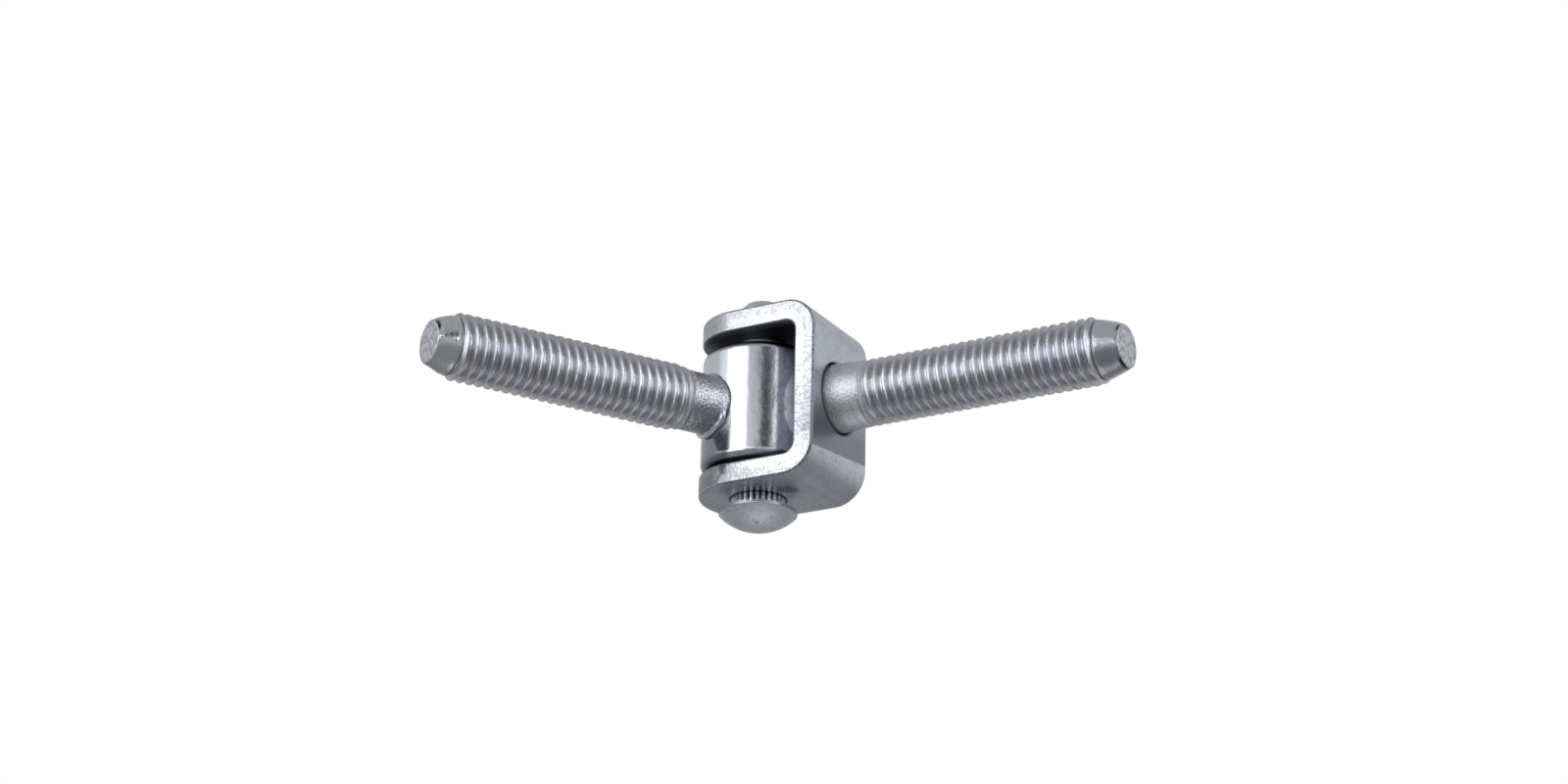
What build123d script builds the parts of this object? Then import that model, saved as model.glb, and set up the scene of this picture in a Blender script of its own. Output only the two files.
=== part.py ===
from build123d import *
from math import pi, radians, tan
import os

# Screw-in gate hinge. A U-bracket folded from flat bar carries a threaded stud
# riveted through its web. A turned barrel with a second stud welded to its side
# turns between the ears on a pin with a domed head and a knurled neck.
# Lengths are in millimetres and angles in degrees.
#
# The origin is on the bracket stud's axis, where its thread begins.
# +X runs out along that stud and +Z runs up along the pin.

# Flat bar of the bracket
bar_width = 20.0
bar_thickness = 4.0
bend_inner_radius = 2.0
ear_reach = 10.8  # from the pin's axis to the rounded end of an ear
bar_edge_radius = 0.5  # softened edges of the sheared bar

# Barrel
barrel_diameter = 21.0
barrel_height = 22.0
barrel_edge_radius = 1.5
bore_chamfer = 0.5
play_below = 0.75  # room between the barrel and the lower ear
play_above = 2.25  # room between the barrel and the upper ear
web_clearance = 1.8  # room between the barrel and the web

# Studs, with each turn of the rolled thread drawn as a ring that closes round the stud
thread_diameter = 11.85
thread_pitch = 1.75
crest_share = 0.125  # flat on each crest, as a share of the pitch
root_share = 0.2  # flat in each root, as a share of the pitch
flank_angle = 30.0
thread_lead = 1.2  # least plain land where a thread begins
runout_turns = 3  # turns over which the groove gets to its full depth
crest_rise = 0.55  # crest above the blank that the thread was rolled on
point_length = 4.4
point_end_diameter = 7.8
runout_length = 0.6  # short cone between the thread and the plain stretch

# Bracket stud
bracket_thread_length = 45.2
collar_length = 5.8  # plain stretch between the web and the thread
collar_step = 0.5  # collar above the thread's crests
rivet_flare = 0.9  # collar's inner end, riveted over into a countersink
web_hole_lip = 0.6  # drawn-in edge of the punched hole on the web's outer face
rivet_clearance = 0.05

# Barrel stud
stud_angle = 240.0  # from +X about the pin, seen from above
barrel_thread_length = 45.0
shank_length = 5.5  # plain stretch between the barrel and the thread
flash_step = 0.9  # weld flash above the shank
flash_sink = 1.1  # flash ring's underside below the barrel's nearest wall
flash_thickness = 2.1
flash_round = 0.6

# Pin
pin_diameter = 9.5
pin_stand = 4.2  # upper end above the upper ear
pin_lead = 1.75
pin_tip_diameter = 6.0
knurl_rise = 0.1  # knurl crests above the pin
knurl_depth = 0.45
knurl_overrun = 0.5  # knurl beyond the thickness of the ear that it grips
knurl_teeth = 26
knurl_land = 0.3  # flat left on each tooth's crest
knurl_lead = 0.4
head_step = 2.25  # head above the pin
head_rim = 0.5
head_dome = 2.9
head_standoff = 2.35  # how far the head still stands off the lower ear
running_clearance = 0.05

# Places that follow from the sizes above
ear_gap = barrel_height + play_below + play_above
ear_top_z = ear_gap / 2 + bar_thickness
bend_outer_radius = bend_inner_radius + bar_thickness
web_outer_x = -collar_length
web_inner_x = web_outer_x - bar_thickness
pin_x = web_inner_x - web_clearance - barrel_diameter / 2
ear_end_x = pin_x - ear_reach
barrel_z = (play_below - play_above) / 2
pin_axis = Axis((pin_x, 0, 0), (0, 0, 1))

pin_radius = pin_diameter / 2
knurl_radius = pin_radius + knurl_rise
bore_radius = pin_radius + running_clearance
neck_hole_radius = knurl_radius + running_clearance
thread_radius = thread_diameter / 2
crest_flat = thread_pitch * crest_share
root_flat = thread_pitch * root_share
flank_slope = tan(radians(flank_angle))
groove_depth = (thread_pitch - crest_flat - root_flat) / (2 * flank_slope)
shank_radius = thread_radius - crest_rise
point_end_radius = point_end_diameter / 2
collar_radius = thread_radius + collar_step
web_hole_radius = collar_radius + rivet_clearance

barrel_radius = barrel_diameter / 2
stud_origin = Vector(pin_x, 0, barrel_z)
stud_direction = Vector(1, 0, 0).rotate(Axis.Z, stud_angle)
stud_side = Vector(0, -1, 0).rotate(Axis.Z, stud_angle)
stud_axis = Axis(stud_origin, stud_direction)
flash_base = barrel_radius - flash_sink
barrel_thread_start = barrel_radius + shank_length
barrel_thread_end = barrel_thread_start + barrel_thread_length

head_radius = pin_radius + head_step
head_seat_z = -ear_top_z - head_standoff
head_apex_z = head_seat_z - head_rim - head_dome
dome_radius = (head_radius**2 + head_dome**2) / (2 * head_dome)
pin_top_z = ear_top_z + pin_stand
knurl_length = bar_thickness + knurl_overrun
knurl_top_z = head_seat_z + knurl_length
knurl_root_radius = knurl_radius - knurl_depth
knurl_groove = 2 * pi * knurl_radius / knurl_teeth - knurl_land

os.makedirs("parts", exist_ok=True)


def thread_outline(start, length):
    """Side view of a thread over the stud's axis, with grooves that deepen over the first turns."""
    turns = int((length - thread_lead) / thread_pitch)
    first_groove = start + length - crest_flat / 2 - (turns - 0.5) * thread_pitch
    points = [(start, thread_radius)]
    for turn in range(turns):
        middle = first_groove + turn * thread_pitch
        depth = groove_depth * min(1, (turn + 1) / runout_turns)
        half_mouth = root_flat / 2 + depth * flank_slope
        points += [
            (middle - half_mouth, thread_radius),
            (middle - root_flat / 2, thread_radius - depth),
            (middle + root_flat / 2, thread_radius - depth),
            (middle + half_mouth, thread_radius),
        ]
    return points + [(start + length, thread_radius)]


# U-bracket: the folded section, its rounded ears, the pin holes and the web's hole
with BuildPart() as u_bracket:
    with BuildSketch(Plane.XZ) as folded_section:
        with Locations((web_outer_x, 0)):
            Rectangle(web_outer_x - ear_end_x, 2 * ear_top_z, align=(Align.MAX, Align.CENTER))
        fillet(folded_section.vertices().group_by(Axis.X)[-1], bend_outer_radius)
        with BuildSketch(Plane.XZ, mode=Mode.SUBTRACT) as inside:
            with Locations((web_inner_x, 0)):
                Rectangle(web_inner_x - ear_end_x, ear_gap, align=(Align.MAX, Align.CENTER))
            fillet(inside.vertices().group_by(Axis.X)[-1], bend_inner_radius)
    extrude(amount=bar_width / 2, both=True)
    with BuildSketch(Plane.XY):
        with Locations((ear_end_x + bar_width / 2, 0)):
            Circle(bar_width / 2)
            Rectangle(
                web_outer_x - ear_end_x - bar_width / 2,
                bar_width,
                align=(Align.MIN, Align.CENTER),
            )
    extrude(amount=ear_top_z, both=True, mode=Mode.INTERSECT)
    ear_seams = u_bracket.edges().filter_by(Axis.Z).group_by(Axis.X)[0]
    bend_lines = u_bracket.edges().filter_by(Axis.Y)
    fillet(u_bracket.edges() - ear_seams - bend_lines, bar_edge_radius)
    with Locations((pin_x, 0, ear_top_z)):
        Hole(bore_radius, depth=bar_thickness)
    with Locations((pin_x, 0, -ear_gap / 2)):
        Hole(neck_hole_radius, depth=bar_thickness)
    with Locations(Plane((web_inner_x, 0, 0), z_dir=(-1, 0, 0))):
        CounterSinkHole(
            web_hole_radius,
            web_hole_radius + rivet_flare,
            depth=bar_thickness,
            counter_sink_angle=90,
        )
    web_hole_rim = u_bracket.edges().filter_by(GeomType.CIRCLE).sort_by(Axis.X)[-1]
    fillet(web_hole_rim, web_hole_lip)
u_bracket.part.label = "u_bracket"
export_step(u_bracket.part, "parts/u_bracket.step")

# Bracket stud: collar riveted through the web, thread and conical point
with BuildPart() as bracket_stud:
    with BuildSketch(Plane.XZ):
        with BuildLine():
            Polyline(
                (web_inner_x, 0),
                (web_inner_x, collar_radius + rivet_flare),
                (web_inner_x + rivet_flare, collar_radius),
                (-runout_length, collar_radius),
                *thread_outline(0, bracket_thread_length),
                (bracket_thread_length, shank_radius),
                (bracket_thread_length + point_length, point_end_radius),
                (bracket_thread_length + point_length, 0),
                close=True,
            )
        make_face()
    revolve(axis=Axis.X)
bracket_stud.part.label = "bracket_stud"
export_step(bracket_stud.part, "parts/bracket_stud.step")

# Barrel: turned cylinder with rounded ends and a running bore
with BuildPart() as hinge_barrel:
    with BuildSketch(Plane((pin_x, 0, barrel_z - barrel_height / 2))):
        Circle(barrel_radius)
        Circle(bore_radius, mode=Mode.SUBTRACT)
    extrude(amount=barrel_height)
    bore_rims = hinge_barrel.edges().filter_by(GeomType.CIRCLE).group_by(SortBy.RADIUS)[0]
    chamfer(bore_rims, bore_chamfer)
    outer_rims = hinge_barrel.edges().filter_by(GeomType.CIRCLE).group_by(SortBy.RADIUS)[-1]
    fillet(outer_rims, barrel_edge_radius)
hinge_barrel.part.label = "hinge_barrel"
export_step(hinge_barrel.part, "parts/hinge_barrel.step")

# Barrel stud: weld flash, plain shank, thread and conical point, cut to sit on the barrel
with BuildPart() as barrel_stud:
    with BuildSketch(Plane(stud_origin, x_dir=stud_direction, z_dir=stud_side)):
        with BuildLine():
            Polyline(
                (0, 0),
                (0, shank_radius),
                (barrel_thread_start - runout_length, shank_radius),
                *thread_outline(barrel_thread_start, barrel_thread_length),
                (barrel_thread_end, shank_radius),
                (barrel_thread_end + point_length, point_end_radius),
                (barrel_thread_end + point_length, 0),
                close=True,
            )
        make_face()
    revolve(axis=stud_axis)
    with BuildSketch(Plane(stud_origin + stud_direction * flash_base, z_dir=stud_direction)):
        Circle(shank_radius + flash_step)
    extrude(amount=flash_thickness)
    flash_rim = barrel_stud.edges().filter_by(GeomType.CIRCLE).group_by(SortBy.RADIUS)[-1]
    fillet(flash_rim, flash_round)
    with Locations(stud_origin):
        Cylinder(barrel_radius, barrel_height, mode=Mode.SUBTRACT)
barrel_stud.part.label = "barrel_stud"
export_step(barrel_stud.part, "parts/barrel_stud.step")

# Knurled neck: straight teeth round the pin under its head, with a lead at their upper ends
with BuildPart() as knurled_neck:
    with BuildSketch(Plane((pin_x, 0, head_seat_z))):
        Circle(knurl_radius)
        with PolarLocations(knurl_radius, knurl_teeth):
            Polygon(
                (knurl_depth, -knurl_groove),
                (knurl_depth, knurl_groove),
                (-knurl_depth, 0),
                align=None,
                mode=Mode.SUBTRACT,
            )
    extrude(amount=knurl_length)
    with BuildSketch(Plane.XZ):
        with BuildLine():
            Polyline(
                (pin_x, head_seat_z),
                (pin_x + knurl_radius, head_seat_z),
                (pin_x + knurl_radius, knurl_top_z - knurl_lead),
                (pin_x + knurl_radius - knurl_lead, knurl_top_z),
                (pin_x, knurl_top_z),
                close=True,
            )
        make_face()
    revolve(axis=pin_axis, mode=Mode.INTERSECT)

# Pin: domed head, neck, plain shank and a tapered upper end
with BuildPart() as hinge_pin:
    with BuildSketch(Plane.XZ):
        with BuildLine():
            RadiusArc(
                (pin_x, head_apex_z),
                (pin_x + head_radius, head_seat_z - head_rim),
                -dome_radius,
            )
            Polyline(
                (pin_x + head_radius, head_seat_z - head_rim),
                (pin_x + head_radius, head_seat_z),
                (pin_x + knurl_root_radius, head_seat_z),
                (pin_x + knurl_root_radius, knurl_top_z),
                (pin_x + pin_radius, knurl_top_z),
                (pin_x + pin_radius, pin_top_z - pin_lead),
                (pin_x + pin_tip_diameter / 2, pin_top_z),
                (pin_x, pin_top_z),
                (pin_x, head_apex_z),
            )
        make_face()
    revolve(axis=pin_axis)
    add(knurled_neck.part)
hinge_pin.part.label = "hinge_pin"
export_step(hinge_pin.part, "parts/hinge_pin.step")
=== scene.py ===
# %% [markdown]
# # A screw-in gate hinge in bright zinc plate
#
# The hinge is five pieces of zinc-plated steel: a bracket folded from flat bar, a stud riveted through the
# bracket, a turned barrel, a second stud welded to the barrel, and a pin with a domed head and a knurled
# neck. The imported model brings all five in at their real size, and this lesson gives them threads and a
# finish. The first step loads the model and keeps its box, so that the finished hinge can be measured
# against it.

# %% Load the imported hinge
from math import ceil, cos, floor, pi, radians, sin, tan

import bmesh
import bpy
import numpy as np
from mathutils import Matrix, Vector


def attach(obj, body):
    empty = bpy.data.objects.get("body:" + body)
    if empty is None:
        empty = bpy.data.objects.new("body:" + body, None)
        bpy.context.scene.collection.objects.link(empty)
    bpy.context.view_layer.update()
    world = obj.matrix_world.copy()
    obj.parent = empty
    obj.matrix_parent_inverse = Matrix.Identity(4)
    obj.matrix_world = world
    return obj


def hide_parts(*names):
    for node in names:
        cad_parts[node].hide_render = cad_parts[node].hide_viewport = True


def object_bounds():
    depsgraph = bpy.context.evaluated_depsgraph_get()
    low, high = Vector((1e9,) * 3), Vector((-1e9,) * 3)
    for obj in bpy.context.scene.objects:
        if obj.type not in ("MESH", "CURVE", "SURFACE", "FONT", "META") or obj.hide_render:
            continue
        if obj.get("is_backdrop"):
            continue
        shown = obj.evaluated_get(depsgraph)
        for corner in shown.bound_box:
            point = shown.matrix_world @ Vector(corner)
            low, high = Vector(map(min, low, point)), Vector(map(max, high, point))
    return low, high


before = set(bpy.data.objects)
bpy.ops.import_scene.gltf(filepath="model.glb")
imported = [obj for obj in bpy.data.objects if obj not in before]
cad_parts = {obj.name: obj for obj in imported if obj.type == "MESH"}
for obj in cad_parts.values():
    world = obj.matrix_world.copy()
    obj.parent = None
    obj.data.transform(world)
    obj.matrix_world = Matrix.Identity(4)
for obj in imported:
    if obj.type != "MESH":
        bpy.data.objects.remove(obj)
cad_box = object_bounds()
mm = 0.001
print("from the CAD model:", ", ".join(sorted(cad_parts)))

# %% [markdown]
# ## The camera
#
# The photograph looks up at the hinge from below and from the right of its pin, through a long lens. A
# camera could be dragged about until the picture looks right. Here its angles come from a fit to straight
# edges and round rims in the photograph, so every edge of the model falls on the same edge in the picture.

# %% Camera
pin_back = 22.1
pin_place = Vector((-pin_back * mm, 0, 0))
azimuth, elevation, roll = radians(29.784), radians(-21.530), radians(1.237)
back = Vector((sin(azimuth) * cos(elevation), -cos(azimuth) * cos(elevation), sin(elevation)))
right = Vector((cos(azimuth), sin(azimuth), 0))
up = back.cross(right)
aim_right, aim_up, camera_reach = 4.149 * mm, 3.947 * mm, 608.49 * mm
aim = pin_place + right * aim_right + up * aim_up

lens = bpy.data.cameras.new("lens")
lens.sensor_width = 36
lens.lens = 77.868
camera = bpy.data.objects.new("camera", lens)
turn = Matrix((right, up, back)).transposed() @ Matrix.Rotation(roll, 3, "Z")
camera.matrix_world = Matrix.Translation(aim + back * camera_reach) @ turn.to_4x4()
bpy.context.collection.objects.link(camera)
bpy.context.scene.camera = camera
bpy.context.scene.view_settings.view_transform = "Standard"
print("camera at", [round(v, 3) for v in camera.matrix_world.translation])

# %% [markdown]
# ## Shader maths as expressions
#
# Every finish below is worked out from noise and from the place on the piece. Wired by hand that is a
# thicket of Math nodes, so one small class wraps a socket: an expression such as `1 - mask * 0.5` adds its
# own nodes. Any other node comes from `node`, which takes its type, its settings and the values or links of
# its sockets.

# %% Wires
class Wire:
    """A socket of a node tree, with arithmetic."""

    def __init__(self, tree, socket=None):
        self.tree, self.socket = tree, socket

    def node(self, kind, settings=None, sockets=None, out=0):
        """Adds a node, sets its settings, fills its sockets, and gives one of its outputs."""
        made = self.tree.nodes.new("ShaderNode" + kind)
        for key, value in (settings or {}).items():
            if key == "stops":
                ramp = made.color_ramp.elements
                while len(ramp) < len(value):
                    ramp.new(1.0)
                for stop, (place, level) in zip(ramp, value):
                    stop.position = place
                    stop.color = (level, level, level, 1)
            else:
                setattr(made, key, value)
        for key, value in (sockets or {}).items():
            if isinstance(value, Wire):
                self.tree.links.new(value.socket, made.inputs[key])
            else:
                made.inputs[key].default_value = value
        return Wire(self.tree, made.outputs[out]) if made.outputs else None

    def out(self, name):
        """Another output of the same node."""
        return Wire(self.tree, self.socket.node.outputs[name])

    def math(self, operation, *values):
        return self.node("Math", {"operation": operation}, dict(enumerate(values)))

    def __add__(self, other):
        return self.math("ADD", self, other)

    def __sub__(self, other):
        return self.math("SUBTRACT", self, other)

    def __rsub__(self, other):
        return self.math("SUBTRACT", other, self)

    def __mul__(self, other):
        return self.math("MULTIPLY", self, other)

    def __truediv__(self, other):
        return self.math("DIVIDE", self, other)

    __radd__, __rmul__ = __add__, __mul__

    def rise(self, low, high):
        """0 below low and 1 above high, eased between them."""
        settings = {"interpolation_type": "SMOOTHSTEP"}
        return self.node("MapRange", settings, {"Value": self, "From Min": low, "From Max": high})

    def between(self, low, high, ease):
        """1 from low to high, easing to 0 outside."""
        return self.rise(low - ease, low) * (1 - self.rise(high, high + ease))

    def blend(self, first, second):
        """A colour between two, by this value."""
        return self.node("Mix", {"data_type": "RGBA"}, {0: self, 6: first, 7: second}, out=2)

    def noise(self, place, scale, detail=2.0):
        """Noise about 0.5 at a place in millimetres, with scale in lumps to the millimetre."""
        return self.node("TexNoise", None, {"Vector": place, "Scale": scale, "Detail": detail})

    def stretched(self, place, factors):
        """The place, scaled by a factor along each axis."""
        return self.node("VectorMath", {"operation": "MULTIPLY"}, {0: place, 1: factors})

    def distance(self, place, point):
        """How far the place lies from a point."""
        return self.node("VectorMath", {"operation": "DISTANCE"}, {0: place, 1: point}, out="Value")


print("wires ready")

# %% [markdown]
# ## A plain studio
#
# The background of the photograph is white paper. The world is white where the camera sees it, and where
# glossy or clear surfaces do, and gives a softer fill to everything else. The floor lies well under the
# camera, which looks up at the hinge, so it only shows in other views, where it keeps the hinge's shadow.

# %% World and floor
world = bpy.data.worlds.new("white_paper")
world.use_nodes = True
world.node_tree.nodes.clear()
sky = Wire(world.node_tree)
path = sky.node("LightPath", out="Is Camera Ray")
seen = sky.math("MAXIMUM", path, path.out("Is Glossy Ray"))
seen = sky.math("MAXIMUM", seen, path.out("Is Transmission Ray"))
fill = 0.75
paper = sky.node("Background", None, {"Color": (1, 1, 1, 1), "Strength": fill + seen * (1 - fill)})
sky.node("OutputWorld", None, {"Surface": paper})
bpy.context.scene.world = world

floor_mesh = bpy.data.meshes.new("floor")
reach, floor_height = 6.0, -0.45
corners = [(-reach, -reach), (reach, -reach), (reach, reach), (-reach, reach)]
floor_mesh.from_pydata([(x, y, floor_height) for x, y in corners], [], [(0, 1, 2, 3)])
floor_board = bpy.data.objects.new("floor", floor_mesh)
bpy.context.collection.objects.link(floor_board)
floor_board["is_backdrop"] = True

floor_finish = bpy.data.materials.new("pale_floor")
floor_finish.use_nodes = True
floor_finish.node_tree.nodes["Principled BSDF"].inputs["Base Color"].default_value = (0.86, 0.86, 0.85, 1)
floor_finish.node_tree.nodes["Principled BSDF"].inputs["Roughness"].default_value = 0.8
floor_mesh.materials.append(floor_finish)
print("floor at", floor_height)

# %% [markdown]
# ## What the metal sees
#
# Bright metal has little colour of its own: it shows what stands round it. The photograph's bands say what
# that was, a soft box on each side of the camera, grey walls, and a darker table. Cards could be hung one
# by one. A single grey tent round the hinge is simpler. Only reflections see it, and its greys depend on
# direction alone.

# %% Tent
tent_mesh = bpy.data.meshes.new("tent")
ball = bmesh.new()
bmesh.ops.create_uvsphere(ball, u_segments=64, v_segments=32, radius=0.42)
ball.to_mesh(tent_mesh)
ball.free()
tent = bpy.data.objects.new("tent", tent_mesh)
bpy.context.collection.objects.link(tent)
tent.visible_camera = tent.visible_diffuse = tent.visible_shadow = tent.visible_transmission = False
tent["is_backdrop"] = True


def bearing(side, height):
    """The direction that lies so many degrees right of the camera and above the horizon."""
    plan, lift = radians(side) + azimuth - pi / 2, radians(height)
    return Vector((cos(plan) * cos(lift), sin(plan) * cos(lift), sin(lift)))


tent_cloth = bpy.data.materials.new("tent_cloth")
tent_cloth.use_nodes = True
tent_cloth.node_tree.nodes.clear()
cloth = Wire(tent_cloth.node_tree)
outward = cloth.node("VectorMath", {"operation": "NORMALIZE"}, {0: cloth.node("TexCoord", out="Object")})


def patch(direction, inner, outer):
    """1 within so many degrees of a direction, easing to 0 further out."""
    nearness = cloth.node("VectorMath", {"operation": "DOT_PRODUCT"}, {0: outward, 1: direction}, out="Value")
    return nearness.rise(cos(radians(outer)), cos(radians(inner)))


height = cloth.node("SeparateXYZ", None, {0: outward}, out="Z")
greys = [(0.0, 0.25), (0.3, 0.27), (0.47, 0.5), (0.66, 0.62), (0.76, 0.4), (1.0, 0.42)]
level = cloth.node("ValToRGB", {"stops": greys}, {0: height * 0.5 + 0.5})
camera_side = patch(bearing(9, 22), 6, 16)
level = level * (1 - camera_side * 0.97)  # unlit, and the dark band on the barrel
pale_patches = [
    (bearing(142, 33), 14, 30, 0.17),  # wall behind, in the upper bend
    (bearing(116, 0), 10, 24, 0.10),  # the foot of that wall, in the lower bend
    (bearing(-77, 12), 6, 20, 0.42),  # beside the left box, in the barrel's left side
    (bearing(29, 12), 5, 13, 0.42),  # narrow, in the barrel's right side
    (bearing(-23, 6), 6, 13, 0.62),  # low, in the cone of the bracket's stud
    (Vector((-0.12, 0.25, -0.96)), 13, 27, 0.52),  # paper under the hinge, in the pin's dome
]
for direction, inner, outer, light in pale_patches:
    level = level + patch(direction, inner, outer) * light
glow = cloth.node("Emission", None, {"Color": level})
cloth.node("OutputMaterial", None, {"Surface": glow})
tent_mesh.materials.append(tent_cloth)
print("tent with", len(greys), "greys and", len(pale_patches), "pale patches")

# %% [markdown]
# ## Two soft boxes
#
# The crisp white bands on the barrel and along the threads are two large soft boxes, one on each side of
# the camera. Glowing planes would do as well. Area lamps give less noise, and here their power follows from
# their size, so that a box with a glare of 1 looks as bright in a mirror as white paper.

# %% Soft boxes
def soft_box(name, side, height, spread, glare):
    """An area lamp inside the tent, with its spread in degrees and its brightness beside white paper."""
    away = 0.37
    lamp = bpy.data.lights.new(name, "AREA")
    lamp.shape = "RECTANGLE"
    lamp.size, lamp.size_y = (2 * away * tan(radians(angle / 2)) for angle in spread)
    lamp.energy = glare * 4 * lamp.size * lamp.size_y
    box = bpy.data.objects.new(name, lamp)
    box.location = pin_place + bearing(side, height) * away
    box.rotation_mode = "QUATERNION"
    box.rotation_quaternion = bearing(side, height).to_track_quat("Z", "Y")
    box.visible_camera = False
    bpy.context.collection.objects.link(box)
    print(name, round(lamp.energy, 2), "W")


soft_box("left_box", -48, 9, (38, 50), 1.22)
soft_box("right_box", 49, 14, (34, 44), 1.05)

# %% [markdown]
# ## Zinc plate
#
# All five pieces went through the same plating bath, so they share one metal: a pale grey with a trace of
# blue, cloudy over a few millimetres and grainy over tenths. What differs is the steel under it, sheared,
# turned, rolled or pressed. Each finish therefore mixes the same greys, with its own roughness and relief.

# %% Plated steel
pale_zinc = (0.655, 0.690, 0.765, 1)
dull_zinc = (0.530, 0.560, 0.630, 1)
# a darker grey, for real stains and marks, and also for painted shade
stain_and_shade_zinc = (0.33, 0.35, 0.40, 1)
# near black, for painted shade in gaps, cracks, grooves and crevices
painted_shade_black = (0.035, 0.04, 0.05, 1)


def finish(name):
    """An empty material, and a wire to build it with."""
    material = bpy.data.materials.new(name)
    material.use_nodes = True
    material.node_tree.nodes.clear()
    return material, Wire(material.node_tree)


def own_place(wire):
    """The place on the piece in millimetres, and its X, Y and Z."""
    metres = wire.node("TexCoord", out="Object")
    place = wire.node("VectorMath", {"operation": "SCALE"}, {0: metres, "Scale": 1 / mm})
    x = wire.node("SeparateXYZ", None, {0: place})
    return place, x, x.out("Y"), x.out("Z")


def plate(wire, colour, roughness, relief):
    """Zinc with this colour, roughness and relief, the relief in millimetres."""
    bump = wire.node("Bump", None, {"Strength": 1.0, "Distance": mm, "Height": relief})
    sockets = {"Base Color": colour, "Metallic": 1.0, "Roughness": roughness, "Normal": bump}
    wire.node("OutputMaterial", None, {"Surface": wire.node("BsdfPrincipled", None, sockets)})


print("greys:", pale_zinc[:3], dull_zinc[:3])

# %% [markdown]
# ## The bracket's flat bar
#
# The bar was sheared from strip and folded. Its sheared edge shows two zones, a bright burnished one where
# the blade slid and a grainy torn one, side by side across the thickness. The inside of the U gets painted
# shade. How deep a point lies under the outer face tells these zones apart, and that depth follows the
# bends by itself.

# %% Zones of the bar
bar_zinc, bar = finish("sheared_bar_zinc")
place, x, y, z = own_place(bar)
bar_thickness, ear_under = 4.0, -16.5
bend_x, bend_z, bend_radius = -11.8, 10.5, 6.0
past_web = bar.math("MAXIMUM", x - bend_x, 0.0)
past_ear = bar.math("MAXIMUM", bar.math("ABSOLUTE", z) - bend_z, 0.0)
depth = bend_radius - bar.math("SQRT", past_web * past_web + past_ear * past_ear)
wander = bar.noise(place, 0.6, 3) - 0.5
cut_edge = depth.between(0.45, bar_thickness - 0.4, 0.15)
torn = cut_edge * (1 - (depth + wander * 1.6).rise(1.7, 2.1))
seam = cut_edge * (depth + wander * 1.6).between(1.85, 1.95, 0.15)
corner = (1 - depth.rise(0.25, 0.5)) * (1 - y.rise(-9.75, -9.55))
inside = depth.rise(bar_thickness - 0.4, bar_thickness - 0.05)
under_ears = bar.math("ABSOLUTE", z).rise(8.5, 11.5)
web_face = x.rise(-6.6, -6.1)
lean = z - y * 0.11
underside = 1 - z.rise(ear_under + 0.1, ear_under + 0.3)
from_pin = bar.math("SQRT", (x + pin_back) * (x + pin_back) + y * y)
print("zones of the bar by depth, up to", bar_thickness, "mm")

# %% [markdown]
# ## The bar's colour and relief
#
# Plate lies thin on torn steel, handling wears the edges, and shade is painted into the corners. A painted
# image could hold all that. Masks made from the zones need no image and stay sharp close up. Each line lays
# one more mark over the colour: first the clouds of the plate, then the edges, then painted shade and wear.

# %% Sheared bar finish
cloud = bar.noise(place, 0.22, 3)
grain = bar.noise(place, 4.5, 3)
mottle = bar.noise(place, 1.3, 4)
over_ears = bar.noise(bar.stretched(place, (2.4, 1.0, 0.4)), 0.9, 4)
over_web = bar.noise(bar.stretched(place, (0.4, 1.0, 2.4)), 0.9, 4)
streaks = (under_ears * over_ears + (1 - under_ears) * over_web).rise(0.42, 0.62)
cracks = 1 - bar.math("ABSOLUTE", bar.noise(place, 0.9, 3) - 0.5).rise(0.004, 0.02)
pits = bar.noise(place, 1.9, 4).rise(0.56, 0.66) * (1 - cut_edge)

colour = (cloud * 0.6 + mottle * 0.4).rise(0.3, 0.7).blend(dull_zinc, pale_zinc)
colour = (cut_edge * 0.9).blend(colour, (0.64, 0.655, 0.68, 1))
marks = streaks * torn * 0.2 + seam * mottle.rise(0.4, 0.6) * 0.5 + cracks * cut_edge * 0.4
colour = marks.blend(colour, stain_and_shade_zinc)
# painted shade: a dark line along the rounded corner between the sheared edge and the outer face
colour = (corner * (0.55 + 0.45 * streaks)).blend(colour, (0.16, 0.17, 0.20, 1))
colour = (pits * 0.45).blend(colour, stain_and_shade_zinc)
low_web_shade = web_face * (1 - lean.rise(-8.0, 2.0)) * lean.rise(-10.9, -10.5)
# painted shade on the cut edge at the upper ear's end
high_end_shade = cut_edge * (1 - x.rise(-24.5, -19.5)) * z.rise(0.0, 5.0)
# painted shade on the cut edge at the lower ear's end
low_end_shade = cut_edge * (1 - (x - z * 0.575).rise(-15.8, -15.2)) * (1 - z.rise(-13.0, -12.0))
# painted dark reflection of the pin's head, on the lower ear's underside
from_head_reflection = bar.distance(place, (-14.7, -2.6, ear_under))
head_reflection = underside * (1 - (from_head_reflection + wander * 1.5).rise(0.9, 2.7))
worn_edge = cut_edge * (1 - under_ears) * (1 - z.rise(-4.0, 4.0))
worn_edge = worn_edge * (streaks * 0.6 + mottle.rise(0.3, 0.55) * 0.6)
# painted shade at the upper ear's end; the ears' underside darker in mottled patches; wear on the web's edge
dull = high_end_shade * 0.4 + underside * (0.04 + 0.36 * mottle.rise(0.35, 0.65)) + worn_edge * 0.9
colour = dull.blend(colour, stain_and_shade_zinc)
# painted dark reflection on the lower part of the outer web
colour = (low_web_shade * (0.8 + 0.4 * mottle)).blend(colour, (0.26, 0.275, 0.315, 1))
# painted shade at the lower ear's end, and a painted dark reflection of the pin's head under the lower ear
colour = (low_end_shade * (0.45 + 0.5 * mottle) + head_reflection * 0.75).blend(colour, (0.13, 0.14, 0.165, 1))
# painted shadow: a black ring round the pin's hole, where the ear meets the knurled neck
colour = (underside * from_pin.between(4.7, 5.2, 0.1)).blend(colour, painted_shade_black)
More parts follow.
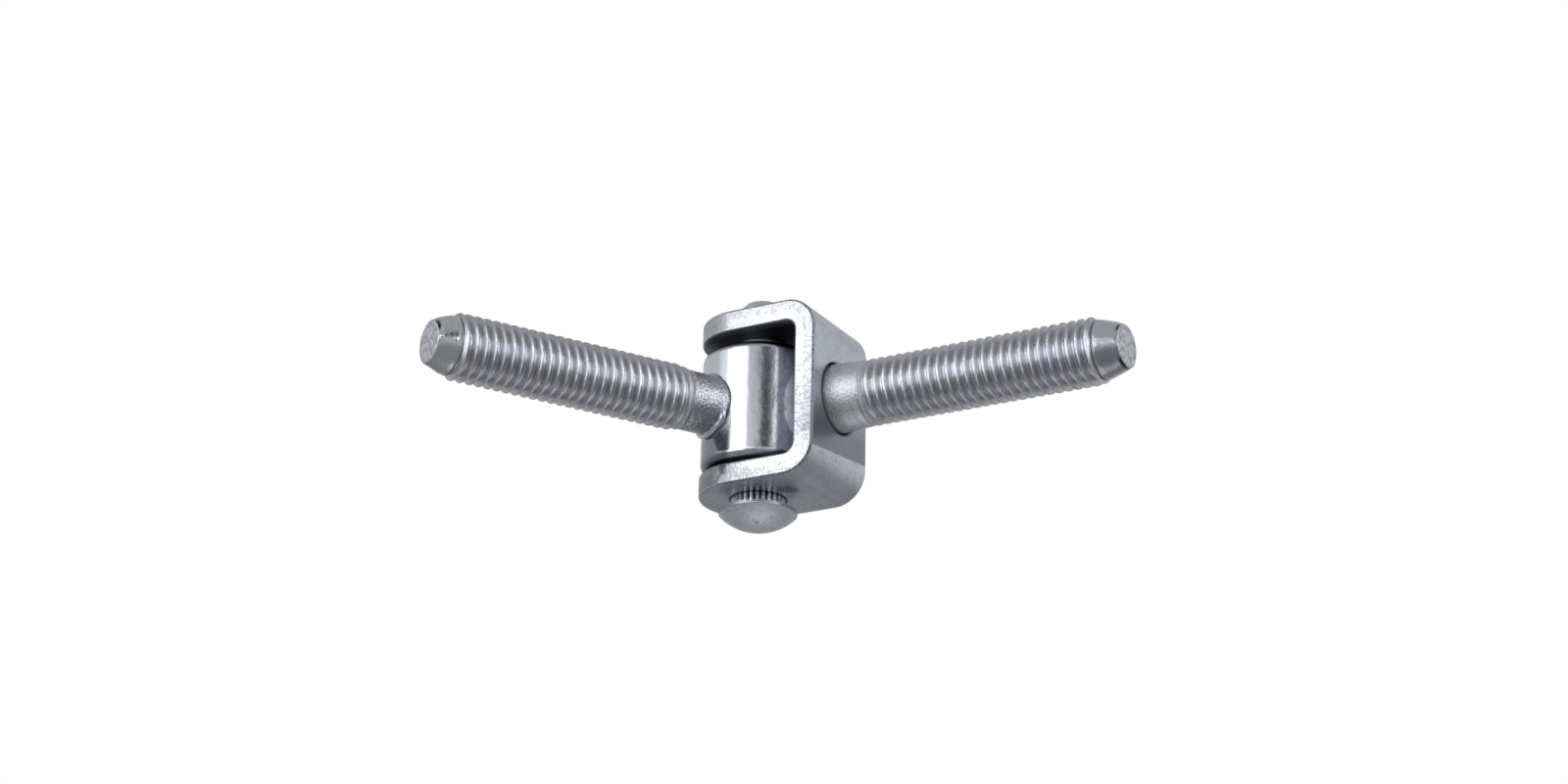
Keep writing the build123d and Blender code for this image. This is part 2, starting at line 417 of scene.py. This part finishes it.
# painted shade inside the U: black deep in, grey on the web's inner face, lighter towards the open ends
open_end_light = (1 - x.rise(-31.5, -27.0)) * 0.9 + (1 - y.rise(-9.8, -7.0)) * 0.9
# painted shadow: a black crescent on the web round the left of the collar's foot
from_shadow_centre = bar.math("SQRT", (y + 0.6) * (y + 0.6) + (z + 0.15) * (z + 0.15))
colour = (web_face * (1 - from_shadow_centre.rise(6.45, 6.65))).blend(colour, painted_shade_black)
inside_shade = under_ears.blend((0.45, 0.47, 0.51, 1), open_end_light.blend(painted_shade_black, stain_and_shade_zinc))
colour = inside.blend(colour, inside_shade)

satin = 0.24 + 0.10 * grain + 0.10 * mottle
roughness = satin - 0.14 * cut_edge + 0.12 * torn + 0.2 * corner + 0.2 * inside
roughness = roughness - 0.14 * underside * (1 - from_pin.rise(5.0, 8.5))
sag = bar.math("MAXIMUM", bar.math("MINIMUM", lean, 0.0), -10.7) / 10.7
dish = sag * sag * 0.26
relief = dish + 0.006 * grain * (1 - cut_edge) + 0.012 * mottle - 0.02 * pits
relief = relief + 0.006 * streaks * torn - 0.015 * cracks * cut_edge
plate(bar, colour, roughness, relief)
print("finish of the sheared bar")

# %% [markdown]
# ## The turned barrel
#
# The barrel is the brightest piece: bar stock turned smooth, so the plate on it is glossy and its
# reflections are crisp upright bands. A mirror would be too clean. A faint ripple and tiny specks break the
# edges of the bands.

# %% Turned barrel finish
def toward(x, y, plan):
    """How far a place lies from the pin's axis in a direction, in degrees from the X axis."""
    return (x + pin_back) * cos(radians(plan)) + y * sin(radians(plan))


barrel_zinc, barrel = finish("turned_barrel_zinc")
place, x, y, z = own_place(barrel)
grain = barrel.noise(place, 4.0, 3)
ripple = barrel.noise(barrel.stretched(place, (1.0, 1.0, 0.35)), 0.9, 2)
blotch = barrel.noise(barrel.stretched(place, (1.0, 1.0, 0.5)), 0.9, 4)
specks = barrel.noise(place, 2.6, 2).rise(0.62, 0.72)
worn_side = toward(x, y, -40.2).rise(8.2, 10.2)
# darker low on the barrel's left, round the stud, in mottled patches
dark_lower_left = (1 - toward(x, y, 29.8).rise(-5.9, -5.2)) * (1 - z.rise(-7.5, -4.5))
dark_lower_left = dark_lower_left * toward(x, y, 240).rise(-4.0, 7.0)
top_edge_shade = z.rise(8.9, 9.5)
low_edge = 1 - z.rise(-11.6, -10.6)
bright_zinc = (0.73, 0.765, 0.84, 1)
colour = barrel.noise(place, 0.2, 3).blend(pale_zinc, bright_zinc)
colour = (specks * 0.2 + blotch.rise(0.5, 0.6) * worn_side * 0.3 + low_edge * 0.3).blend(colour, stain_and_shade_zinc)
colour = (dark_lower_left * (0.8 + 0.4 * blotch)).blend(colour, (0.28, 0.30, 0.34, 1))
# painted shade: the barrel's top rounding black, as the gap under the upper ear
colour = top_edge_shade.blend(colour, painted_shade_black)
roughness = 0.10 + 0.08 * grain + 0.10 * specks + 0.12 * low_edge + 0.14 * worn_side * blotch
plate(barrel, colour, roughness, 0.0025 * grain + 0.008 * ripple + 0.05 * blotch * worn_side)
print("finish of the barrel")

# %% [markdown]
# ## The headed pin
#
# The head was pressed cold in a die and came out of the bath satin. The straight knurls under it get
# painted shade in their grooves, which the distance from the pin's axis finds, and a nick near the middle is
# a round dent.

# %% Headed pin finish
pin_zinc, pin = finish("headed_pin_zinc")
place, x, y, z = own_place(pin)
grain = pin.noise(place, 4.5, 3)
mottle = pin.noise(place, 1.1, 4)
radius = pin.math("SQRT", (x + pin_back) * (x + pin_back) + y * y)
groove = z.between(-18.7, -14.0, 0.1) * (1 - radius.rise(4.5, 4.8))
colour = mottle.rise(0.3, 0.7).blend(pale_zinc, (0.74, 0.77, 0.83, 1))
teeth = z.between(-18.8, -14.0, 0.05)
# painted highlight: the knurl's teeth paler near the head, darker towards the ear
colour = (teeth * (1 - z.rise(-18.2, -16.8)) * 0.8).blend(colour, (0.90, 0.91, 0.93, 1))
# painted shade in the knurl's grooves
colour = (groove * 0.75).blend(colour, painted_shade_black)
sideways = pin.math("ABSOLUTE", toward(x, y, 29.8))
rim = z.rise(-19.5, -19.4) * (1 - teeth)
rim_line = z.between(-19.12, -19.0, 0.04) * 0.8 + z.between(-19.42, -19.36, 0.04) * 0.4
nick = 1 - pin.distance(place, (-20.82, -2.58, -21.82)).rise(0.1, 0.5)
pits = pin.noise(place, 1.5, 3).rise(0.6, 0.72)
# the nick and the pits are real marks; the rim's sides, left and right as the camera sees them, get painted
# shade
colour = (nick * 0.6 + pits * 0.35 + rim * sideways.rise(3.2, 4.6) * 0.7).blend(colour, stain_and_shade_zinc)
# painted shade: two dark lines round the head's rim
colour = (rim * rim_line).blend(colour, painted_shade_black)
roughness = 0.36 + 0.10 * grain + 0.1 * mottle - 0.18 * teeth
plate(pin, colour, roughness, 0.03 * grain + 0.08 * mottle - 0.12 * nick - 0.06 * pits)

for node, zinc in (("u_bracket", bar_zinc), ("hinge_barrel", barrel_zinc), ("hinge_pin", pin_zinc)):
    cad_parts[node].data.materials.clear()
    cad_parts[node].data.materials.append(zinc)
print("finishes on the bracket, the barrel and the pin")

# %% [markdown]
# ## The studs' finish
#
# Rolling leaves a burnished skin on the thread, and the bath tints it faintly brown and violet in places.
# The ends were cropped, so they are dull and scored, and the welded stretch of the barrel's stud is grainy
# from the heat. Two small knocks on the cone catch the light. Each stud's mesh carries its own place,
# measured back from the tip, so both studs can share one finish.

# %% Rolled stud finish
stud_zinc, stud = finish("rolled_stud_zinc")
place = stud.node("Attribute", {"attribute_name": "stud_place"}, out="Vector")
from_tip = stud.node("SeparateXYZ", None, {0: place})
across, upright = from_tip.out("Y"), from_tip.out("Z")
radius = stud.math("SQRT", across * across + upright * upright)
weld = stud.node("Attribute", {"attribute_name": "weld_grain"}, out="Fac")
fold = stud.node("Attribute", {"attribute_name": "folded_burr"}, out="Fac")
by_base, by_rim = stud.distance(place, (2.9, 4.8, -0.6)), stud.distance(place, (0.6, 4.1, -0.3))
knocks = 2 - by_base.rise(0.0, 0.55) - by_rim.rise(0.0, 0.45)
grain = stud.noise(place, 4.0, 3)
mottle = stud.noise(place, 1.2, 3)
tint = stud.noise(place, 0.35, 2)
spatter = stud.noise(place, 2.6, 3)
specks = spatter.rise(0.46, 0.58)
rolled = stud.noise(stud.stretched(place, (7.0, 0.8, 0.8)), 1.0, 4).rise(0.42, 0.66)
scores = stud.noise(stud.stretched(place, (0.0, 0.5, 2.5)), 1.2, 3)
cropped = 1 - from_tip.rise(0.12, 0.2)
on_cone = from_tip.between(0.2, 4.0, 0.2)
collar = from_tip.rise(46.5, 49.8) * (1 - weld)
on_thread = from_tip.rise(4.1, 4.5) * (1 - weld) * (1 - collar)
crest = on_thread * radius.rise(5.76, 5.90)
flank = on_thread * (1 - radius.rise(4.95, 5.35))

colour = tint.rise(0.35, 0.65).blend((0.60, 0.575, 0.575, 1), (0.55, 0.565, 0.625, 1))
colour = (mottle.rise(0.3, 0.7) * 0.5 + 0.15).blend(colour, pale_zinc)
# painted highlight on the thread's crests and painted light on the collar's lower side; the cropped end and
# the collar are paler as well
pale_and_lit = crest * 0.25 + cropped * 0.8 + collar * (0.4 + 0.6 * (1 - upright.rise(-4.5, -1.5)))
colour = pale_and_lit.blend(colour, (0.78, 0.80, 0.84, 1))
# painted shade in the thread's roots, with rolling streaks and specks on the collar
colour = (flank * 0.1 + on_thread * rolled * 0.4 + collar * specks * 0.3).blend(colour, stain_and_shade_zinc)
colour = (cropped * (specks * 0.2 + mottle.rise(0.4, 0.6) * 0.65)).blend(colour, stain_and_shade_zinc)
low_cone_shade = on_cone * (1 - upright.rise(-2.5, -0.5)) * (1 - across.rise(-1.0, 1.0))
colour = (on_cone * 0.6).blend(colour, (0.70, 0.725, 0.79, 1))
# painted shade on the cone's lower side
colour = (low_cone_shade * 0.65).blend(colour, stain_and_shade_zinc)
lip = weld * radius.rise(5.6, 5.85)
glints = stud.noise(place, 4.5, 2).rise(0.5, 0.6)
colour = (weld * (1 - lip) * (0.1 + 0.75 * specks)).blend(colour, stain_and_shade_zinc)
colour = (weld * (1 - lip) * glints * upright.rise(-3.0, 0.5) * 0.8).blend(colour, (0.90, 0.91, 0.93, 1))
barrel_tip = 65.4
along = barrel_tip - from_tip
from_pin = stud.math("SQRT", along * along + across * across)
# painted shade: the welded shank darker above and below its lit middle band
scale = weld * (1 - lip) * (1 - upright.between(-1.2, 2.0, 1.6))
colour = (scale * 0.25).blend(colour, stain_and_shade_zinc)
colour = (lip * 0.6).blend(colour, (0.80, 0.82, 0.86, 1))
# painted shade in the crevice where the stud meets the barrel
crevice_shade = weld * (1 - lip) * (1 - from_pin.rise(10.6, 11.2))
colour = (crevice_shade * 0.8).blend(colour, painted_shade_black)
# painted shade in the crack under the folded burr
colour = fold.blend(colour, painted_shade_black)
roughness = 0.22 + 0.10 * grain + 0.10 * mottle + 0.15 * cropped + 0.14 * collar
roughness = roughness - 0.04 * crest - 0.06 * weld - 0.06 * lip - 0.10 * on_cone
relief = 0.012 * grain + 0.025 * mottle + 0.16 * (weld - lip) * spatter + 0.015 * on_thread * rolled
relief = relief + cropped * (0.14 * scores + 0.10 * mottle) + 0.09 * collar * spatter
relief = relief + on_cone * (0.05 * mottle + 0.13 * knocks)
plate(stud, colour, roughness, relief)
print("finish for both studs")

# %% [markdown]
# ## The rolled thread
#
# A rolled thread isn't cut: dies press the root into a plain blank, and the displaced steel rises to the
# crest. A screw modifier would give one profile all along. Here each vertex is worked out from the blank
# under it, so the thread can grow out of a plain shank at one end and stop short at the foot of the cone at
# the other.

# %% Thread form
pitch = 1.75
blank_radius, crest_radius, root_radius = 5.375, 5.925, 4.92
crest_half, root_half = 0.055, 0.095
around = 96
half_turn = np.array([0, 0.035, 0.055, 0.075, 0.10, 0.15, 0.22, 0.29, 0.35, 0.385, 0.405, 0.44])
phases = np.concatenate([half_turn, [0.5], 1 - half_turn[:0:-1]])


def smooth(value):
    """0 below 0 and 1 above 1, eased between them."""
    value = np.clip(value, 0, 1)
    return value * value * (3 - 2 * value)


def thread_lift(phase):
    """1 on a crest and 0 in a root, at a phase from one crest's middle, 0, to the next one's, 1."""
    off = np.minimum(phase, 1 - phase)
    flank = np.clip((off - crest_half) / (0.5 - crest_half - root_half), 0, 1)
    return 1 - 0.75 * flank - 0.25 * smooth(flank)


def net(s, r, angle):
    """Vertices and quads of a net of rows along the X axis by columns round it."""
    points = np.stack(np.broadcast_arrays(s, r * np.cos(angle), r * np.sin(angle)), axis=-1)
    rows, columns = points.shape[:2]
    index = np.arange(rows * columns).reshape(rows, columns)
    quads = np.stack([index[:-1, :-1], index[1:, :-1], index[1:, 1:], index[:-1, 1:]], axis=-1)
    return points.reshape(-1, 3), quads.reshape(-1, 4)


columns = np.linspace(0, 2 * np.pi, around + 1)[None, :]


def rolled_thread(start, end, runout, first_radius, root_place, blank):
    """A thread that grows out of a first radius and stops short at its end, on a blank of changing radius.

    One turn of its root passes angle 0 at root_place."""
    turns = np.arange(floor((start - root_place) / pitch) - 2, ceil((end - root_place) / pitch) + 2)
    along = (turns[:, None] + phases[None, :] - 0.5).reshape(-1, 1)
    lift = np.tile(thread_lift(phases), len(turns))[:, None]
    s = np.clip(root_place + along * pitch + columns / (2 * np.pi) * pitch, start, end)
    b = blank(s)
    left = 1 - smooth((s - end + 0.45) / 0.35)
    pressed = left * (root_radius - blank_radius + lift * (crest_radius - root_radius))
    grown = smooth((s - start) / runout)
    return net(s, first_radius + (b + pressed - first_radius) * grown, columns)


def turned(outline):
    """A net of places along the axis and radii, turned round it."""
    s, r = np.array(outline, float).T[:, :, None]
    return net(s, r, columns)


print(len(phases), "rows to each turn of the thread")

# %% [markdown]
# ## The points of the studs
#
# Both studs end in a cone that was cropped off, not turned: the rim is a little out of round, and a burr is
# folded over part of it and leaves a crack, painted black as shade. The burr is a groove whose depth depends
# on the angle. A fine groove runs round the foot of the cone, where the thread stops.

# %% Points
point_foot, rim_radius = 0.35, 3.95


def knee(shoulder, tip):
    """The blank's radius along a stud: plain, then easing over a shoulder into the cone."""
    places = [shoulder - 0.8, shoulder, shoulder + 1.4, tip]
    radii = [blank_radius, blank_radius - 0.05, blank_radius - 0.27, rim_radius]
    return lambda s: np.interp(s, places, radii)


def burr(angle, centre, spread):
    """How much burr there is at an angle round the rim, fading out at so many degrees from a centre."""
    off = np.abs((np.degrees(angle) - centre + 180) % 360 - 180)
    return 1 - smooth((off - spread * 0.5) / (spread * 0.5))


def cropped_point(shoulder, tip, blank, folded, flat):
    """Cone, rim and end face, with a folded burr and a flat that were left by the crop."""
    # rows from the foot up, and how far each lies under the blank: the first ones make the groove
    foot = shoulder + point_foot + np.array([0, 0.04, 0.18, 0.22, 0.28, 0.4, 0.7, 1.05, 1.4, 1.9, 2.4, 2.9])
    foot_drop = np.array([0, 0.34, 0.36, 0.0, -0.05, 0, 0, 0, 0, 0, 0, 0])
    # rows back from the tip, their drop into the rounded rim, and how wide the crack gapes there
    back = np.array([1.2, 0.8, 0.6, 0.5, 0.36, 0.24, 0.14, 0.07, 0.02, 0.0])
    drop = np.array([0, 0, 0, 0.01, 0.02, 0.03, 0.06, 0.11, 0.18, 0.26])
    gape = np.array([0, 0, 0, 0.3, 1.0, 0.9, 0.1, -0.2, -0.2, -0.15])
    s = np.concatenate([foot, tip - back])[:, None]
    drop = np.concatenate([foot_drop, drop])[:, None]
    gape = np.concatenate([0 * foot, gape])[:, None]
    wobble = 0.05 * np.sin(2 * columns + 0.7) + 0.03 * np.sin(5 * columns) + 0.02 * np.sin(9 * columns + 2)
    nearness = smooth((s - tip + 1.2) / 1.0)
    r = blank(s) - drop + nearness * (wobble - 0.4 * flat) - 0.3 * gape * folded
    inner = np.array([0.93, 0.8, 0.6, 0.4, 0.2, 0.0])[:, None] * r[-1:]
    dip = np.array([0.0, 0.02, 0.05, 0.07, 0.08, 0.08])[:, None]
    s = np.concatenate([np.broadcast_to(s, r.shape), tip - np.broadcast_to(dip, inner.shape)])
    return net(s, np.concatenate([r, inner]), columns)


print("points", rim_radius, "mm at the rim, before it is rounded")

# %% [markdown]
# ## One mesh for each stud
#
# The nets of a stud share their end circles, so merging vertices that fall on the same place closes the
# skin. The thread's rows run past its ends and are held there, which leaves slivers that the same merge
# clears away.

# %% Stud meshes
def stud_piece(name, nets, place, tip, weld_end, folded, node, body):
    """Joins the nets into one mesh that stands for a CAD node, and stores each vertex's place on the stud."""
    starts = np.cumsum([0] + [len(points) for points, quads in nets[:-1]])
    points = np.concatenate([points for points, quads in nets])
    quads = np.concatenate([quads + start for (points_, quads), start in zip(nets, starts)])
    work = bmesh.new()
    mesh = bpy.data.meshes.new(name)
    mesh.from_pydata((points * mm).tolist(), [], quads.tolist())
    work.from_mesh(mesh)
    bmesh.ops.remove_doubles(work, verts=work.verts, dist=0.002 * mm)
    bmesh.ops.dissolve_degenerate(work, edges=work.edges, dist=0.001 * mm)
    bmesh.ops.recalc_face_normals(work, faces=work.faces)
    work.to_mesh(mesh)
    work.free()

    own = np.empty(len(mesh.vertices) * 3, np.float32)
    mesh.vertices.foreach_get("co", own)
    own = own.reshape(-1, 3) / mm
    stored = mesh.attributes.new("stud_place", "FLOAT_VECTOR", "POINT")
    stored.data.foreach_set("vector", (own * (-1, 1, 1) + (tip, 0, 0)).astype(np.float32).ravel())
    heat = mesh.attributes.new("weld_grain", "FLOAT", "POINT")
    heat.data.foreach_set("value", smooth((weld_end - own[:, 0]) / 1.0).astype(np.float32))
    crack = mesh.attributes.new("folded_burr", "FLOAT", "POINT")
    near_rim = smooth((0.66 - tip + own[:, 0]) / 0.2) * smooth((tip - own[:, 0] - 0.1) / 0.1)
    crack.data.foreach_set("value", (near_rim * folded(np.arctan2(own[:, 2], own[:, 1]))).astype(np.float32))

    mesh.transform(place)
    mesh.shade_smooth()
    mesh.set_sharp_from_angle(angle=radians(42))
    mesh.materials.append(stud_zinc)
    made = bpy.data.objects.new(name, mesh)
    bpy.context.collection.objects.link(made)
    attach(made, body)
    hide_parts(node)
    print(name, len(mesh.polygons), "faces")
    return made


# %% [markdown]
# ## The bracket's stud
#
# Its inner end is riveted over into a countersink in the web. Outside, a plain collar stands between the
# web and the thread, a little thicker than the thread's crests.

# %% Bracket stud
collar = turned(
    [
        (-9.8, 0), (-9.8, 3.5), (-9.8, 7.2), (-9.74, 7.27), (-8.9, 6.425), (-7.7, 6.42), (-7.3, 6.15),
        (-4.6, 6.15), (-3.6, 6.12), (-2.8, 6.07), (-2.0, 5.99), (-1.4, 5.94), (-1.0, crest_radius),
    ]
)
shoulder, tip, unwelded = 44.6, 49.6, -20
blank = knee(shoulder, tip)
thread = rolled_thread(-1.0, shoulder + point_foot, 4.5, crest_radius, pitch / 4, blank)


def right_burr(angle):
    return np.maximum(burr(angle, 258, 38), 0.9 * burr(angle, 143, 20))


end = cropped_point(shoulder, tip, blank, right_burr(columns), 0.3 * burr(columns, 100, 40))
stud_piece(
    "threaded_bracket_stud",
    [collar, thread, end],
    Matrix.Identity(4),
    tip,
    unwelded,
    right_burr,
    "bracket_stud",
    "bracket",
)

# %% [markdown]
# ## The barrel's stud
#
# This stud was welded to the barrel by pressing the two together hot. The squeezed-out steel left a rolled
# lip, thick under the stud and almost nothing on top. The lip is a half-round row whose height depends on
# the angle.

# %% Barrel stud
shoulder, tip, weld_end = 60.9, barrel_tip, 16.6
barrel_radius, thread_start = 10.5, 15.0
lip_width, lip_height = 0.58, 0.88
blank = knee(shoulder, tip)
under = smooth((-np.sin(columns) - 0.2) / 0.55) * (1 + 0.08 * np.sin(7 * columns))
over = 0.5 * smooth((np.sin(columns) - 0.75) / 0.2)
saddle = np.sqrt(barrel_radius**2 - (blank_radius * np.cos(columns)) ** 2)
lip_place = np.maximum(saddle + 0.4, 10.25)
turn_over = np.radians([-90, -75, -60, -42, -20, 0, 20, 42, 60, 75, 90])[:, None]
lip_s = lip_place + lip_width * np.sin(turn_over)
lip_r = blank_radius + lip_height * np.cos(turn_over) * (0.04 + 0.94 * np.maximum(under, over))
lip = net(lip_s, lip_r, columns)
buried_end = np.full_like(lip_s[:1], 7.6)
buried = net(np.concatenate([buried_end, lip_s[:1]]), np.repeat(lip_r[:1], 2, 0), columns)
plain = np.full_like(lip_r[:1], blank_radius)
shank = net(
    np.concatenate([lip_s[-1:], np.full_like(lip_s[:1], 12.6), np.full_like(lip_s[:1], thread_start)]),
    np.concatenate([lip_r[-1:], plain, plain]),
    columns,
)
thread = rolled_thread(thread_start, shoulder + point_foot, 4.0, blank_radius, 16.0, blank)


def left_burr(angle):
    return burr(angle, 40, 30)


end = cropped_point(shoulder, tip, blank, left_burr(columns), 0.9 * burr(columns, 44, 56))
on_barrel = Matrix.Translation((pin_place.x, 0, -0.75 * mm)) @ Matrix.Rotation(radians(240), 4, "Z")
stud_piece(
    "threaded_barrel_stud",
    [buried, lip, shank, thread, end],
    on_barrel,
    tip,
    weld_end,
    left_burr,
    "barrel_stud",
    "barrel",
)

# %% [markdown]
# ## Measure
#
# The dressed hinge keeps the size of the CAD model, so both boxes are printed side by side.

# %% Boxes
boxes = {"cad": cad_box, "visual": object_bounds()}
boxes = {name: [list(corner) for corner in pair] for name, pair in boxes.items()}
print(boxes)
